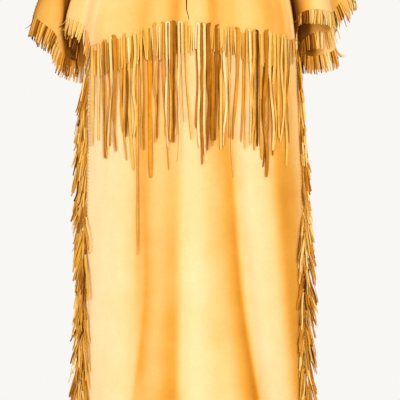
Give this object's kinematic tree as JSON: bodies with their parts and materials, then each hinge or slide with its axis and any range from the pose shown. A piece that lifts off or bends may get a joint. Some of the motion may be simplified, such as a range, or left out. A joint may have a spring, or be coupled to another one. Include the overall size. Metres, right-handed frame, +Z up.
{
  "type": "hide dress",
  "caption": "Hollow hide dress with a cape yoke, wing sleeves, a plain skirt, and cut fringe at the yoke's edge, under it and down both side seams.",
  "frame": {"origin": "middle of the shoulder line, at the level of the neck's sides, where a support in the neck and shoulders holds the dress", "axes": "+Z up, +X towards the left of a wearer, which is the viewer's right, and the front faces -Y"},
  "size_m": [0.8156, 0.1948, 1.2877],
  "materials": {
    "skirt_hide": "matt suede nap, golden tan",
    "yoke_hide": "matt suede nap, golden tan",
    "short_fringe": "matt suede strips, golden tan with paler cut edges",
    "long_thongs": "matt suede thongs, golden tan to orange",
    "side_fringe": "matt suede strips, browner tan with pale cut edges"
  },
  "bodies": {
    "root": {"skirt_front": "skirt_hide", "skirt_back": "skirt_hide", "yoke_front": "yoke_hide", "yoke_back": "yoke_hide", "yoke_fringe_front": "short_fringe", "yoke_fringe_back": "short_fringe", "sleeve_fringe_left": "short_fringe", "sleeve_fringe_right": "short_fringe", "long_fringe_front": "long_thongs", "side_fringe_left": "side_fringe", "side_fringe_right": "side_fringe"}
  },
  "joints": []
}
